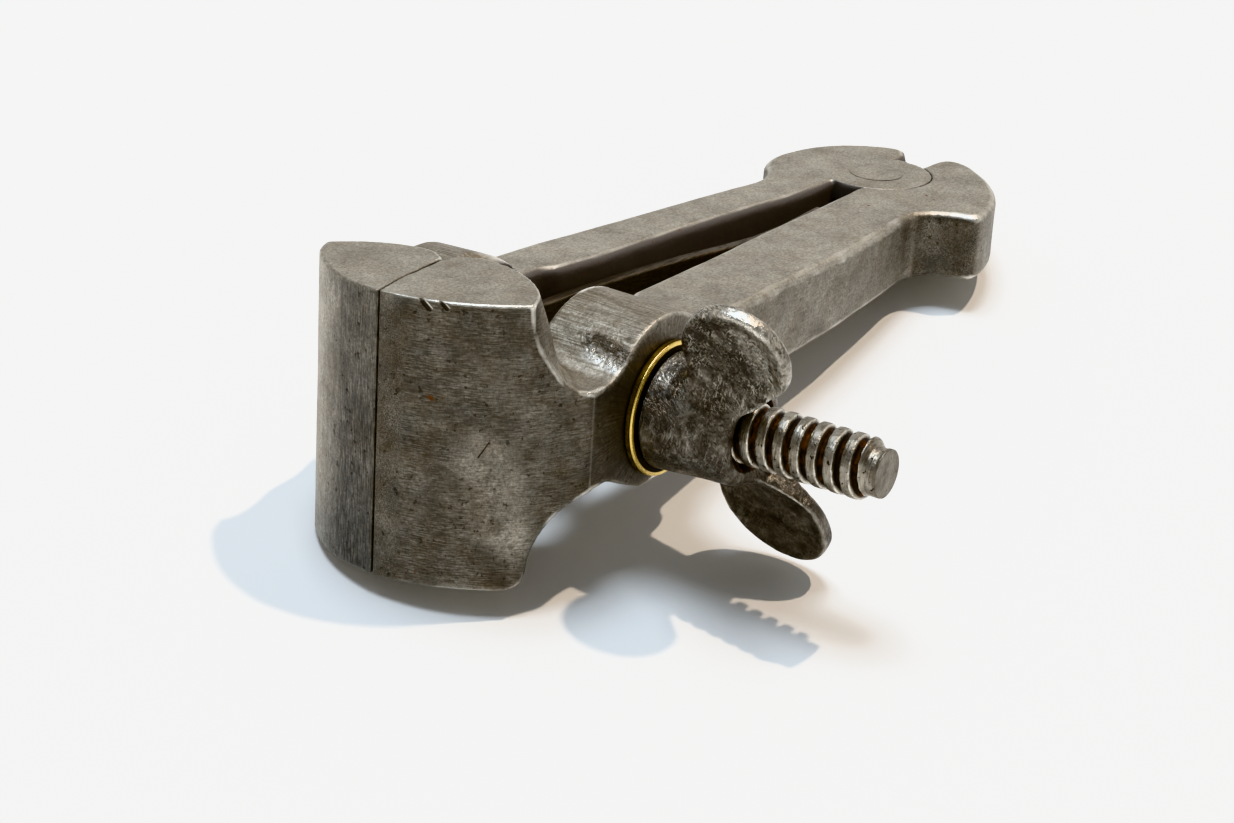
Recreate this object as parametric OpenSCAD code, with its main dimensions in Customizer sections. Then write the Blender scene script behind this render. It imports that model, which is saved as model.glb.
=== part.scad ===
// Forged hand vise: two hinged arms, a swinging clamp screw with a wing nut, and a leaf spring.
// X runs from the jaw tips to the hinge, Z along the jaw width, and the wing nut is on the minus Y side.
// The origin is on the closed seam, at the underside of the jaws.

/* [Jaws] */
// Height of the jaws along Z
jaw_height = 30; // [26:0.5:34]
// Gap left between the gripping faces when closed
jaw_gap = 0.2; // [0.1:0.05:0.4]
// Length of the gripping faces that meet
grip_length = 4.2; // [3:0.1:6]
// Shift of the seam towards the rear arm, over the length of the gripping faces
seam_lean = 0.65; // [0.4:0.05:0.8]
// Relief behind the gripping face of the rear arm, at its back corner
grip_relief = 0.6; // [0.4:0.05:0.7]
// Reach of the front jaw from the seam
front_jaw_reach = 12.6; // [12:0.1:13]
// Reach of the rear jaw from the seam
rear_jaw_reach = 10.6; // [10:0.1:11]

/* [Waist behind the jaws] */
// Radius of the round back of each jaw, at its top and bottom
back_radius = 12.25; // [12:0.05:12.5]
// Middle of the front jaw's round back, from the jaw tips
front_back_x = 1.9; // [1.6:0.1:2.2]
// Middle of the front jaw's round back, from the seam
front_back_y = 2.3; // [2:0.1:2.6]
// Middle of the rear jaw's round back, from the jaw tips
rear_back_x = 0.8; // [0.6:0.1:1.1]
// Middle of the rear jaw's round back, from the seam
rear_back_y = 2.7; // [2.4:0.1:3]
// Flare of the back where it runs out into the waist
back_flare = 8; // [7:0.1:9]
// Fullness of the flare, where 2 is an ellipse
flare_power = 2.2; // [2:0.1:2.8]
// Half height of the waist
waist_half = 5.3; // [5:0.1:5.8]

/* [Bosses and legs] */
// Distance of the clamp screw from the jaw tips
screw_x = 25.3; // [25:0.1:25.8]
// Radius of the round bosses at their end faces
boss_radius = 9.9; // [9.6:0.1:10.1]
// Radius of the round bosses at their inner faces
boss_root_radius = 10.15; // [9.8:0.05:10.4]
// Lowest point of the front boss, below the screw
boss_flat = 7.9; // [7.6:0.1:9.6]
// End face of the front boss, from the seam
front_boss_out = 16.95; // [16.5:0.05:17.3]
// End face of the rear boss, from the seam
rear_boss_out = 14.9; // [14.7:0.1:15.3]
// Inner face of the front boss, from the seam
front_boss_in = 6.6; // [6.2:0.1:6.9]
// Inner face of the rear boss, from the seam
rear_boss_in = 7; // [6.8:0.1:7.3]
// Thickness of the legs at the boss, along Z
leg_thick = 12.3; // [11.6:0.1:12.8]
// Outer side of the front leg where it leaves the boss
front_leg_out = 15.7; // [15.2:0.1:16]
// Outer side of the rear leg where it leaves the boss
rear_leg_out = 13.9; // [13.4:0.1:14.2]

/* [Hinge] */
// Distance of the hinge from the jaw tips
hinge_x = 100.5; // [100:0.1:101.5]
// Radius of the round hinge cheeks and tongue
cheek_radius = 7; // [6.6:0.1:7.2]
// Thickness of the hinge end along Z
hinge_thick = 8.4; // [8:0.1:9]
// Thickness of the tongue of the front arm
tongue_thick = 3; // [2.6:0.1:3.4]
// Radius of the hinge rivet
rivet_radius = 2.4; // [2:0.1:2.8]
// Radius of the rivet's countersunk ends
rivet_end_radius = 3.3; // [3:0.1:3.6]

/* [Clamp screw and nut] */
// Radius of the screw over its thread
screw_radius = 3.24; // [3.1:0.02:3.3]
// Radius of the plain point
point_radius = 2.45; // [2.2:0.05:2.7]
// Length of the plain point
point_length = 1.4; // [1:0.1:2]
// End of the screw, from the seam
screw_end = 42.8; // [42:0.1:44]
// Swing pin of the screw, from the seam
pin_y = 10.2; // [10:0.1:10.4]
// Radius of the swing pin
pin_radius = 1.5; // [1.3:0.1:1.7]
// Thickness of the flat eye of the screw
eye_thick = 4.4; // [4:0.1:4.8]
// Outer radius of the brass washer
washer_radius = 7.15; // [6.8:0.05:7.4]
// Thickness of the brass washer
washer_thick = 0.85; // [0.7:0.05:1.1]
// Radius of the nut's hub at the washer
hub_radius = 6.3; // [6:0.1:6.6]
// Radius of the nut's hub at its free end
hub_end_radius = 5.6; // [5.2:0.1:6]
// Length of the nut's hub
hub_length = 9.8; // [9:0.1:10.4]
// Half length of each wing's oval paddle
paddle_long = 6.7; // [6.4:0.1:7.2]
// Half width of each wing's oval paddle
paddle_wide = 5.6; // [5.2:0.1:5.9]
// Distance of the paddle's middle from the screw
wing_reach = 11.3; // [11:0.1:11.7]
// Distance of the paddle's middle from the nut's foot
wing_forward = 10.4; // [10:0.1:10.8]
// Lean of the paddles towards the screw's point
wing_lean = 24; // [15:1:30]
// Thickness of the paddle's rim
wing_rim = 1.8; // [1.6:0.1:2.4]
// Depth of the dish in each side of a paddle
dish_depth = 0.3; // [0.2:0.05:0.4]
// Radius of the dish at the paddle's side
dish_radius = 4.6; // [4:0.1:4.8]
// Turn of the wings about the screw
wing_turn = 28; // [0:1:90]

/* [Leaf spring] */
// Thickness of the leaf
spring_thick = 1.5; // [1:0.1:1.6]
// Width of the leaf along Z
spring_width = 6.6; // [5:0.2:7]
// Radius of the spring's rivet
spring_rivet_radius = 1.3; // [1:0.1:1.5]
// Distance of the spring's rivet from the hinge
spring_rivet_back = 20.5; // [18.5:0.5:22.5]
// Depth of the rivet's blind hole in the leg
spring_rivet_depth = 7; // [5:0.5:8]

/* [Clearances] */
// Running gap at the hinge faces and the screw's eye
run_gap = 0.1; // [0.06:0.02:0.16]
// Radial clearance of turning pins
pin_gap = 0.05; // [0.03:0.01:0.08]
// Clearance of fixed rivets in their holes
fixed_gap = 0.02; // [0.01:0.01:0.03]
// Clearance around the screw in the front boss
bore_gap = 0.9; // [0.8:0.1:1.1]
// Clearance between nut and screw thread
thread_gap = 0.06; // [0.04:0.01:0.1]
// Gap at each side of the washer
washer_gap = 0.1; // [0.05:0.01:0.15]

/* [Hidden] */
iron = [0.42, 0.40, 0.37];
brass = [0.72, 0.56, 0.26];
mid_z = jaw_height / 2;
half = jaw_height / 2;
seam = jaw_gap / 2;
neck_x = 12.5;
neck_end = 20.4;
tip_bevel = 0.15;
front_corner = [[0, 1.25], [-0.5, 0.4], [-1.45, -0.4], [-3.25, -0.9]];
rear_corner = [[-0.05, 3.5], [-0.5, 2.5]];
rear_corner_run = 1.2;
throat_run = 4.6;
boss_slope = [15.7, 22];
outside = 22;
bore_radius = screw_radius + bore_gap;
leg_end = hinge_x - 10;
leg_under = [leg_x(0.355), -4.4];
spring_rivet_x = hinge_x - spring_rivet_back;
seat_radius = cheek_radius + run_gap;
slot_half = tongue_thick / 2 + run_gap;
eye_radius = screw_radius;
eye_slot_half = eye_thick / 2 + run_gap;
eye_room = 0.9;
shoulder_gap = 0.6;
pin_inset = 0.2;
washer_bore_gap = 0.25;
washer_y = front_boss_out + washer_gap;
nut_y = washer_y + washer_thick + washer_gap;
mouth_bevel = 0.8;
wing_root = [3.4, 1.6];
wing_neck = [6.4, 3];
dish_slope = 1.2;
countersink = 0.9;
head_radius = 2.4;
head_height = 0.9;
head_bevel = 0.8;
head_gap = 0.15;
overlap = 0.1;
root_start = [hinge_x - 27.5, 2.1];
root_end = [hinge_x - 14.5, 1.4];
$fn = 64;

// Place along the legs, from 0 at the screw to 1 at the hinge
function leg_x(share) = screw_x + share * (hinge_x - screw_x);

// Points whose first number is a distance from the screw, a share of the leg, or a distance from the hinge
function by_screw(points) = [for (p = points) [screw_x + p[0], p[1]]];
function by_leg(points) = [for (p = points) [leg_x(p[0]), p[1]]];
function by_hinge(points) = [for (p = points) [hinge_x + p[0], p[1]]];

// Points of a curve from a to c, pulled towards b
function curve(a, b, c, n = 8) =
    [for (i = [0:n]) let (t = i / n) (1 - t) * (1 - t) * a + 2 * t * (1 - t) * b + t * t * c];

// Inner side of the front leg where the leaf spring lies on it
function root_y(x) =
    root_start[1] + (root_end[1] - root_start[1]) * (x - root_start[0]) / (root_end[0] - root_start[0]);

// A point of the jaw's flared back, as radius and height
function back_point(u) = [back_radius + back_flare - back_flare * pow(cos(u), 2 / flare_power),
    half - (half - waist_half) * pow(sin(u), 2 / flare_power)];

// A cylinder lying along Y from y0 to y1
module bar_y(r, y0, y1, x = 0, r2 = -1) {
    translate([x, y0, 0])
        rotate([-90, 0, 0])
            cylinder(h = y1 - y0, r1 = r, r2 = r2 < 0 ? r : r2);
}

// Inner side of a jaw, from the throat past the corner of its round back to the gripping face
function inner_side(boss_in, back, corner, grip_y) =
    concat([[back + throat_run, boss_in]], [for (p = corner) [back + p[0], p[1]]], [[grip_length, grip_y]]);

// Jaw and neck of one arm, outwards along plus Y, with its round back flaring into the waist
module jaw(outline, inner, boss_in, boss_out, centre) {
    flare = [for (u = [0:10:90]) back_point(u)];
    last = len(flare) - 1;
    intersection() {
        translate([0, 0, -half])
            linear_extrude(jaw_height)
                polygon(concat([[tip_bevel, seam], [0, seam + tip_bevel]], outline,
                    [[neck_x, boss_out], [neck_end, boss_out], [neck_end, boss_in]], inner));
        translate([centre[0], centre[1], 0])
            rotate_extrude()
                polygon(concat([[0, -half]], [for (q = flare) [q[0], -q[1]]], [[2 * outside, -waist_half],
                    [2 * outside, waist_half]], [for (i = [last:-1:0]) flare[i]], [[0, half]]));
    }
}

// Leg and hinge end of one arm, tapered in thickness towards the hinge
module leg(outline) {
    intersection() {
        translate([0, 0, -half])
            linear_extrude(jaw_height)
                polygon(outline);
        rotate([90, 0, 0])
            translate([0, 0, -2 * outside])
                linear_extrude(4 * outside)
                    polygon([[screw_x, -leg_thick / 2], leg_under, [leg_end, -hinge_thick / 2],
                        [hinge_x + outside, -hinge_thick / 2], [hinge_x + outside, hinge_thick / 2],
                        [leg_end, hinge_thick / 2], [screw_x, leg_thick / 2]]);
    }
}

module front_outline() {
    jaw(concat(curve([0.2, 1.4], [1.1, 7.6], [5.6, front_jaw_reach]),
        curve([5.6, front_jaw_reach], [6.9, front_jaw_reach + 1.4], [9, front_jaw_reach + 2.5], 4)),
        inner_side(front_boss_in, front_back_x + back_radius, front_corner, seam - seam_lean),
        front_boss_in, front_boss_out, [front_back_x, front_back_y]);
    intersection() {
        bar_y(boss_root_radius, front_boss_in, front_boss_out, screw_x, boss_radius);
        rotate([90, 0, 0])
            translate([0, 0, -outside])
                linear_extrude(2 * outside)
                    polygon([[0, -waist_half], [boss_slope[0], -waist_half], [boss_slope[1], -boss_flat],
                        [2 * outside, -boss_flat], [2 * outside, outside], [0, outside]]);
    }
    leg(concat(by_screw([[0, front_leg_out], [8.7, front_leg_out]]),
        by_leg([[0.275, 14.9], [0.421, 14.3], [0.568, 13.8], [0.714, 12.7]]),
        by_hinge(concat(curve([-13.9, 11.8], [-9.1, 11.6], [-7.7, 17]),
            curve([-7.6, 17.3], [-7.3, 18.4], [-5.5, 18.1], 3),
            curve([-4.5, 18], [4.3, 16.4], [9.9, 9.7]),
            curve([10.5, 8.9], [12.6, 6.9], [12.3, 4.9], 4),
            curve([12.1, 4.1], [11.5, 3], [9.7, 2.9], 3),
            [[0, 2.4], [-7.1, 1]])),
        [root_end, root_start],
        by_leg([[0.374, 3.4]]),
        by_screw([[13.2, 4.1], [11.3, 4.7], [8.5, front_boss_in], [0, front_boss_in]])));
}

module rear_outline() {
    jaw(concat(curve([0.2, 1.4], [0.6, 6.7], [4.6, rear_jaw_reach]),
        curve([4.6, rear_jaw_reach], [5.6, rear_jaw_reach + 1], [7.6, rear_jaw_reach + 1.8], 4)),
        inner_side(rear_boss_in, rear_back_x + back_radius,
            concat(rear_corner, [[-rear_corner_run, seam + seam_lean + grip_relief]]), seam + seam_lean),
        rear_boss_in, rear_boss_out, [rear_back_x, rear_back_y]);
    bar_y(boss_root_radius, rear_boss_in, rear_boss_out, screw_x, boss_radius);
    leg(concat(by_screw([[0, rear_leg_out], [10.7, rear_leg_out]]),
        by_leg([[0.262, 13.5], [0.368, 12.7], [0.501, 11.7], [0.648, 10.8], [0.754, 10]]),
        by_hinge(concat(curve([-14.1, 9.5], [-10.7, 9.4], [-8.2, 11.4], 5),
            curve([-7.6, 11.9], [-5.1, 13.7], [-1, 13.5], 5),
            curve([-0.2, 13.4], [6.5, 12.7], [10.4, 7.2]),
            curve([10.7, 6.7], [12.1, 4.5], [12.2, 2.3], 4),
            [[9.7, 0.8], [0, 0.8], [-7.1, 2.3], [-16.5, 2.5], [-23.5, 3.3]])),
        by_leg([[0.475, 4.4]]),
        by_screw([[20.4, 5], [14.1, 5.9], [12.1, rear_boss_in], [0, rear_boss_in]])));
}

// A round disc on the hinge from z0 to z1
module hinge_disc(r, z0, z1) {
    translate([hinge_x, 0, z0])
        cylinder(h = z1 - z0, r = r);
}

// A straight hole along Z with countersunk ends
module rivet_shape(r, r_end, long) {
    translate([hinge_x, 0, -long / 2]) {
        cylinder(h = long, r = r);
        cylinder(h = countersink, r1 = r_end, r2 = r);
    }
    translate([hinge_x, 0, long / 2 - countersink])
        cylinder(h = countersink, r1 = r, r2 = r_end);
}

module front_arm() {
    color(iron)
        translate([0, 0, mid_z])
            mirror([0, 1, 0])
                difference() {
                    union() {
                        difference() {
                            front_outline();
                            for (side = [0, 1])
                                mirror([0, 0, side])
                                    hinge_disc(seat_radius, tongue_thick / 2, half);
                        }
                        hinge_disc(cheek_radius, -tongue_thick / 2, tongue_thick / 2);
                    }
                    hinge_disc(rivet_radius + pin_gap, -half, half);
                    bar_y(bore_radius, 0, outside, screw_x);
                    bar_y(spring_rivet_radius + fixed_gap, 0, spring_rivet_depth, spring_rivet_x);
                }
}

module rear_arm() {
    color(iron)
        translate([0, 0, mid_z])
            difference() {
                union() {
                    difference() {
                        rear_outline();
                        hinge_disc(seat_radius, -slot_half, slot_half);
                    }
                    for (side = [0, 1])
                        mirror([0, 0, side])
                            hinge_disc(cheek_radius, slot_half, hinge_thick / 2);
                }
                rivet_shape(rivet_radius + fixed_gap, rivet_end_radius + fixed_gap, hinge_thick);
                translate([screw_x - eye_radius - eye_room, 0, -eye_slot_half])
                    cube([2 * (eye_radius + eye_room), pin_y, 2 * eye_slot_half]);
                translate([screw_x, pin_y, -eye_slot_half])
                    cylinder(h = 2 * eye_slot_half, r = eye_radius + eye_room);
                translate([screw_x, pin_y, -half])
                    cylinder(h = jaw_height, r = pin_radius + fixed_gap);
            }
}

module hinge_rivet() {
    color(iron)
        translate([0, 0, mid_z])
            rivet_shape(rivet_radius, rivet_end_radius, hinge_thick);
}

module clamp_screw() {
    color(iron)
        translate([0, 0, mid_z])
            mirror([0, 1, 0])
                difference() {
                    union() {
                        bar_y(screw_radius, shoulder_gap - rear_boss_in, screw_end - point_length, screw_x);
                        bar_y(point_radius, 0, screw_end, screw_x);
                        translate([screw_x - eye_radius, -pin_y, -eye_thick / 2])
                            cube([2 * eye_radius, pin_y - rear_boss_in + shoulder_gap + overlap, eye_thick]);
                        translate([screw_x, -pin_y, -eye_thick / 2])
                            cylinder(h = eye_thick, r = eye_radius);
                    }
                    translate([screw_x, -pin_y, -half])
                        cylinder(h = jaw_height, r = pin_radius + pin_gap);
                }
}

module screw_pin() {
    color(iron)
        translate([screw_x, pin_y, mid_z - boss_radius + pin_inset])
            cylinder(h = 2 * (boss_radius - pin_inset), r = pin_radius);
}

module washer() {
    color(brass)
        translate([0, 0, mid_z])
            mirror([0, 1, 0])
                difference() {
                    bar_y(washer_radius, washer_y, washer_y + washer_thick, screw_x);
                    bar_y(screw_radius + washer_bore_gap, 0, outside, screw_x);
                }
}

// A point on the rim of a wing's paddle, as height along Y over the nut's foot and distance from the screw
function rim(u) = [
    -wing_reach - paddle_long * cos(u) * cos(wing_lean) + paddle_wide * sin(u) * sin(wing_lean),
    wing_forward + paddle_long * cos(u) * sin(wing_lean) + paddle_wide * sin(u) * cos(wing_lean)];

// One wing of the nut, with its paddle above the screw and the nut's foot at the origin
module wing() {
    difference() {
        translate([-wing_rim / 2, 0, 0])
            rotate([0, 90, 0])
                linear_extrude(wing_rim)
                    polygon(concat([[-wing_root[0], wing_root[1]], [-wing_neck[0], wing_neck[1]]],
                        [for (u = [-120:15:135]) rim(u)], [[-wing_root[0], hub_length]]));
        for (side = [0, 1])
            mirror([side, 0, 0])
                translate([wing_rim / 2 - dish_depth, wing_forward, wing_reach])
                    rotate([0, 90, 0])
                        cylinder(h = dish_depth + overlap, r1 = dish_radius - dish_slope, r2 = dish_radius);
    }
}

module wing_nut() {
    color(iron)
        translate([screw_x, -nut_y, mid_z])
            mirror([0, 1, 0])
                rotate([0, -wing_turn, 0])
                    difference() {
                        union() {
                            bar_y(hub_radius, 0, hub_length, 0, hub_end_radius);
                            wing();
                            mirror([0, 0, 1])
                                wing();
                        }
                        bar_y(screw_radius + thread_gap, -1, outside);
                        bar_y(screw_radius, hub_length - mouth_bevel, hub_length + overlap, 0,
                            screw_radius + mouth_bevel + overlap);
                    }
}

// Middle line of the leaf, from the free tip to the riveted root
leaf_back = fixed_gap + spring_thick / 2;
leaf_root = [root_start[0] + 1, root_end[0] - 0.5];
leaf_line = concat(by_leg(concat(curve([0.148, 4.75], [0.289, 4.15], [0.461, 1.4], 10),
    curve([0.481, 1.05], [0.541, -0.1], [0.594, -0.8], 4))),
    [for (x = leaf_root) [x, leaf_back - root_y(x)]]);
leaf_last = len(leaf_line) - 1;

// Points of the leaf's face, offset by d from its middle line
function leaf_side(d) = [for (i = [0:leaf_last])
    let (a = leaf_line[max(i - 1, 0)], b = leaf_line[min(i + 1, leaf_last)], u = (b - a) / norm(b - a))
        leaf_line[i] + d * [-u[1], u[0]]];

module leaf_spring() {
    outer = leaf_side(spring_thick / 2);
    inner = leaf_side(-spring_thick / 2);
    color(iron)
        translate([0, 0, mid_z])
            difference() {
                translate([0, 0, -spring_width / 2])
                    linear_extrude(spring_width)
                        polygon(concat(outer, [for (i = [leaf_last:-1:0]) inner[i]]));
                bar_y(spring_rivet_radius + fixed_gap, -outside, outside, spring_rivet_x);
            }
}

module spring_rivet() {
    seat = 2 * leaf_back - root_y(spring_rivet_x) + head_gap;
    color(iron)
        translate([0, 0, mid_z]) {
            bar_y(spring_rivet_radius, fixed_gap - spring_rivet_depth, seat + overlap, spring_rivet_x);
            bar_y(head_radius, seat, seat + head_height, spring_rivet_x, head_radius - head_bevel);
        }
}

rear_arm();
front_arm();
hinge_rivet();
clamp_screw();
screw_pin();
washer();
wing_nut();
leaf_spring();
spring_rivet();
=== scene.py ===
import math
import bmesh
import bpy
import numpy as np
from mathutils import Matrix, Vector


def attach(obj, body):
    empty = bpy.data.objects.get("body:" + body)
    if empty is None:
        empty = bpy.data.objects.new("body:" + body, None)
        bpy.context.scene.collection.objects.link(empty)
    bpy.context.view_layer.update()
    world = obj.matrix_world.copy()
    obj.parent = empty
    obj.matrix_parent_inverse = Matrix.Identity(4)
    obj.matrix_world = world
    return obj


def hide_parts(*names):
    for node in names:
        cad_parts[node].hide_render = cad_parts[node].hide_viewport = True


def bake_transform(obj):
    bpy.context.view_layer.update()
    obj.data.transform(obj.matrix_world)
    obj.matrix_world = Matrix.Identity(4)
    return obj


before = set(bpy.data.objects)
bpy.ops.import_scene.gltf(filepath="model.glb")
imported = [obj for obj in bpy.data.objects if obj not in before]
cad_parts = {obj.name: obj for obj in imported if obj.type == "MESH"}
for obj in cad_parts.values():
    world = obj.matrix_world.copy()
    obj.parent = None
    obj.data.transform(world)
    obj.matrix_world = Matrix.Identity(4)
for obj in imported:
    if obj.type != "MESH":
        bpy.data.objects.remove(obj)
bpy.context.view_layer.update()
mm = 0.001


def hexColor(code):
    # sRGB hex to the linear numbers that a shader wants
    parts = [int(code[i:i + 2], 16) / 255 for i in (0, 2, 4)]
    return [c / 12.92 if c <= 0.04045 else ((c + 0.055) / 1.055) ** 2.4 for c in parts] + [1.0]


def setInputs(tree, node, links):
    # each socket is linked, or set to a value
    for key, value in links.items():
        if isinstance(value, bpy.types.NodeSocket):
            tree.links.new(value, node.inputs[key])
        else:
            node.inputs[key].default_value = value


def addNode(tree, kind, links=None, **settings):
    # one node, its settings, and what each socket is set or linked to
    node = tree.nodes.new(kind)
    for key, value in settings.items():
        setattr(node, key, value)
    setInputs(tree, node, links or {})
    return node


signs = {"+": "ADD", "-": "SUBTRACT", "*": "MULTIPLY", "/": "DIVIDE"}


def addSheet(tree, value, sheet):
    # sums, such as "a = b * 2", "a = b * c + 1" or "a = LINEAR b 0 1", with small letters for vectors and lumps
    for row in sheet.split(","):
        name, _, *words = row.split()
        if len(words) > 2 and words[1] in signs:
            operation, terms = "_".join(signs[sign] for sign in words[1::2]), words[::2]
        else:
            operation, *terms = words
        links = {i: value[term] if term in value else float(term) for i, term in enumerate(terms)}
        if operation == "lumps":
            value[name] = lumps(tree, value["place"], *links.values())
            continue
        kind, setting = "ShaderNodeMath", "operation"
        if operation in ("LINEAR", "SMOOTHSTEP", "SMOOTHERSTEP"):
            kind, setting = "ShaderNodeMapRange", "interpolation_type"
        elif operation.islower():
            kind = "ShaderNodeVectorMath"
        node = addNode(tree, kind, links, **{setting: operation.upper()})
        value[name] = next(socket for socket in node.outputs if socket.enabled)


def addObject(name, data):
    made = bpy.data.objects.new(name, data)
    bpy.context.scene.collection.objects.link(made)
    return made


# Camera: solved from the jaws, the hinge and the screw in the picture
cameraView = {
    "location": (-191.05, -149.19, 117.08), "turn": (67.858, -3.330, -56.187),
    "lens": 78.768, "sensor": 36, "near": 0.01, "far": 20,
}
cameraData = bpy.data.cameras.new("camera")
cameraData.lens = cameraView["lens"]
cameraData.sensor_width = cameraView["sensor"]
cameraData.clip_start = cameraView["near"]
cameraData.clip_end = cameraView["far"]
camera = addObject("camera", cameraData)
camera.location = Vector(cameraView["location"]) * mm
camera.rotation_euler = [math.radians(a) for a in cameraView["turn"]]
bpy.context.scene.camera = camera
print("camera placed")


# Floor and light
studio = {
    "floorHalf": 12.0, "floorHeight": -2.18, "floorSlope": (0.1161, 0.1178), "floorColor": "f2f1ee",
    "sunFrom": (0.245, -0.222, 0.944), "sunEnergy": 1.6, "sunAngle": 1.8, "sunColor": "ffebd6",
    "windowFrom": (-0.08, 0.06, 1.0), "lampAim": (0.04, 0, 0.01), "lampDistance": 2.0, "windowSize": 0.75,
    "windowEnergy": 34.0, "windowColor": "deedfd",
    "skyTop": "74767a", "skyFar": "e9e8e4", "skyNear": "55514b", "skyStrength": 1.12,
    "cameraSide": (-0.78, -0.62, 0.0),
}


def makeFloor():
    half = studio["floorHalf"]
    slopeX, slopeY = studio["floorSlope"]
    corners = [(x, y, studio["floorHeight"] * mm + slopeX * x + slopeY * y)
               for x, y in ((-half, -half), (half, -half), (half, half), (-half, half))]
    mesh = bpy.data.meshes.new("floor")
    mesh.from_pydata(corners, [], [(0, 1, 2, 3)])
    paper = bpy.data.materials.new("paleFloor")
    paper.use_nodes = True
    setInputs(paper.node_tree, paper.node_tree.nodes["Principled BSDF"],
              {"Base Color": hexColor(studio["floorColor"]), "Roughness": 0.9, "Specular IOR Level": 0.2})
    mesh.materials.append(paper)
    addObject("floor", mesh)


def makeLights():
    for name, kind, settings in (("sun", "SUN", {"angle": math.radians(studio["sunAngle"])}),
                                 ("window", "AREA", {"shape": "SQUARE", "size": studio["windowSize"]})):
        data = bpy.data.lights.new(name, kind)
        settings.update(energy=studio[name + "Energy"], color=hexColor(studio[name + "Color"])[:3])
        for key, value in settings.items():
            setattr(data, key, value)
        lamp = addObject(name, data)
        away = Vector(studio[name + "From"]).normalized()
        lamp.location = away * studio["lampDistance"] + Vector(studio["lampAim"])
        lamp.rotation_euler = away.to_track_quat("Z", "Y").to_euler()


def makeSky():
    # pale low down all round, dim overhead, and dark higher up on the camera's side
    world = bpy.data.worlds.new("studioSky")
    world.use_nodes = True
    tree = world.node_tree
    place = addNode(tree, "ShaderNodeTexCoord").outputs["Generated"]
    value = {"place": place, "height": addNode(tree, "ShaderNodeSeparateXYZ", {0: place}).outputs["Z"],
             "cameraSide": studio["cameraSide"]}
    addSheet(tree, value,
        "toward = dot_product place cameraSide, upward = SMOOTHSTEP height 0.45 0.8,"
        "raisedUp = LINEAR height 0.12 0.4, sideways = SMOOTHSTEP toward -0.35 0.45,"
        "near = sideways * raisedUp")
    color = hexColor(studio["skyFar"])
    for amount, shade in (("near", "skyNear"), ("upward", "skyTop")):
        color = addNode(tree, "ShaderNodeMix", {0: value[amount], 6: color, 7: hexColor(studio[shade])},
                        data_type="RGBA").outputs[2]
    setInputs(tree, tree.nodes["Background"], {"Color": color, "Strength": studio["skyStrength"]})
    bpy.context.scene.world = world


makeFloor()
makeLights()
makeSky()
bpy.context.scene.view_settings.view_transform = "Khronos PBR Neutral"
print("floor and light placed")


# Distance fields: each piece is cut and joined as distances, in mm, then skinned
def roundCut(a, b, r):
    # what lies in both, with its edge rounded to r
    u, v = np.maximum(a + r, 0), np.maximum(b + r, 0)
    return np.minimum(-r, np.maximum(a, b)) + np.sqrt(u * u + v * v)


def roundJoin(a, b, r):
    return -roundCut(-a, -b, r)


def polygonDistance(points, px, py):
    # signed distance to a closed outline, negative inside
    points = np.asarray(points, float)
    px, py = np.broadcast_arrays(px, py)
    best = np.full(px.shape, 1e9)
    inside = np.zeros(px.shape, bool)
    for a, b in zip(points, np.roll(points, -1, axis=0)):
        edge = b - a
        length = edge @ edge
        if length < 1e-12:
            continue
        along = np.clip(((px - a[0]) * edge[0] + (py - a[1]) * edge[1]) / length, 0, 1)
        best = np.minimum(best, (px - a[0] - edge[0] * along) ** 2 + (py - a[1] - edge[1] * along) ** 2)
        if a[1] != b[1]:
            crossing = (a[1] > py) != (b[1] > py)
            inside ^= crossing & (px < edge[0] * (py - a[1]) / edge[1] + a[0])
    return np.where(inside, -1, 1) * np.sqrt(best)


def bend(a, b, c, steps=8):
    # points of a curve from a to c, pulled towards b
    a, b, c = (np.array(p, float) for p in (a, b, c))
    return [tuple((1 - t) ** 2 * a + 2 * t * (1 - t) * b + t * t * c) for t in np.linspace(0, 1, steps + 1)]


def graded(stops):
    # grid lines with a spacing that changes: (from, to, spacing) for each stretch
    lines = []
    for start, end, spacing in stops:
        count = max(1, round((end - start) / spacing))
        lines += list(np.linspace(start, end, count, endpoint=False))
    return np.array(lines + [stops[-1][1]])


def skinField(field, *lines):
    # surface nets: one point in each cell that the surface crosses, one quad for each crossed grid edge
    inside = field < 0
    cells = np.zeros([n - 1 for n in field.shape], np.int8)
    for corner in np.ndindex(2, 2, 2):
        cells += inside[tuple(slice(c, n - 1 + c) for c, n in zip(corner, field.shape))]
    active = np.argwhere((cells > 0) & (cells < 8))
    number = np.full(cells.shape, -1, np.int64)
    number[tuple(active.T)] = np.arange(len(active))
    total = np.zeros((len(active), 3))
    count = np.zeros(len(active))
    quads = []
    for axis in range(3):
        one, two = (axis + 1) % 3, (axis + 2) % 3
        for p, q in np.ndindex(2, 2):
            low = active.copy()
            low[:, one] += p
            low[:, two] += q
            high = low.copy()
            high[:, axis] += 1
            fa, fb = field[tuple(low.T)], field[tuple(high.T)]
            cut = (fa < 0) != (fb < 0)
            share = np.where(cut, fa / np.where(cut, fa - fb, 1), 0)
            point = np.stack([lines[n][low[:, n]] for n in range(3)], 1)
            point[:, axis] += share * (lines[axis][high[:, axis]] - lines[axis][low[:, axis]])
            total += point * cut[:, None]
            count += cut
        before, after = (tuple(part if n == axis else slice(None) for n in range(3))
                         for part in (slice(0, -1), slice(1, None)))
        for outward in (False, True):
            first, second = (inside[before], inside[after]) if outward else (inside[after], inside[before])
            at = np.argwhere(first & ~second)
            corners = []
            for p, q in ((1, 1), (0, 1), (0, 0), (1, 0)):
                cell = at.copy()
                cell[:, one] -= p
                cell[:, two] -= q
                corners.append(number[tuple(cell.T)])
            quads.append(np.stack(corners if outward else corners[::-1], 1))
    return total / count[:, None], np.concatenate(quads)


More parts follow.
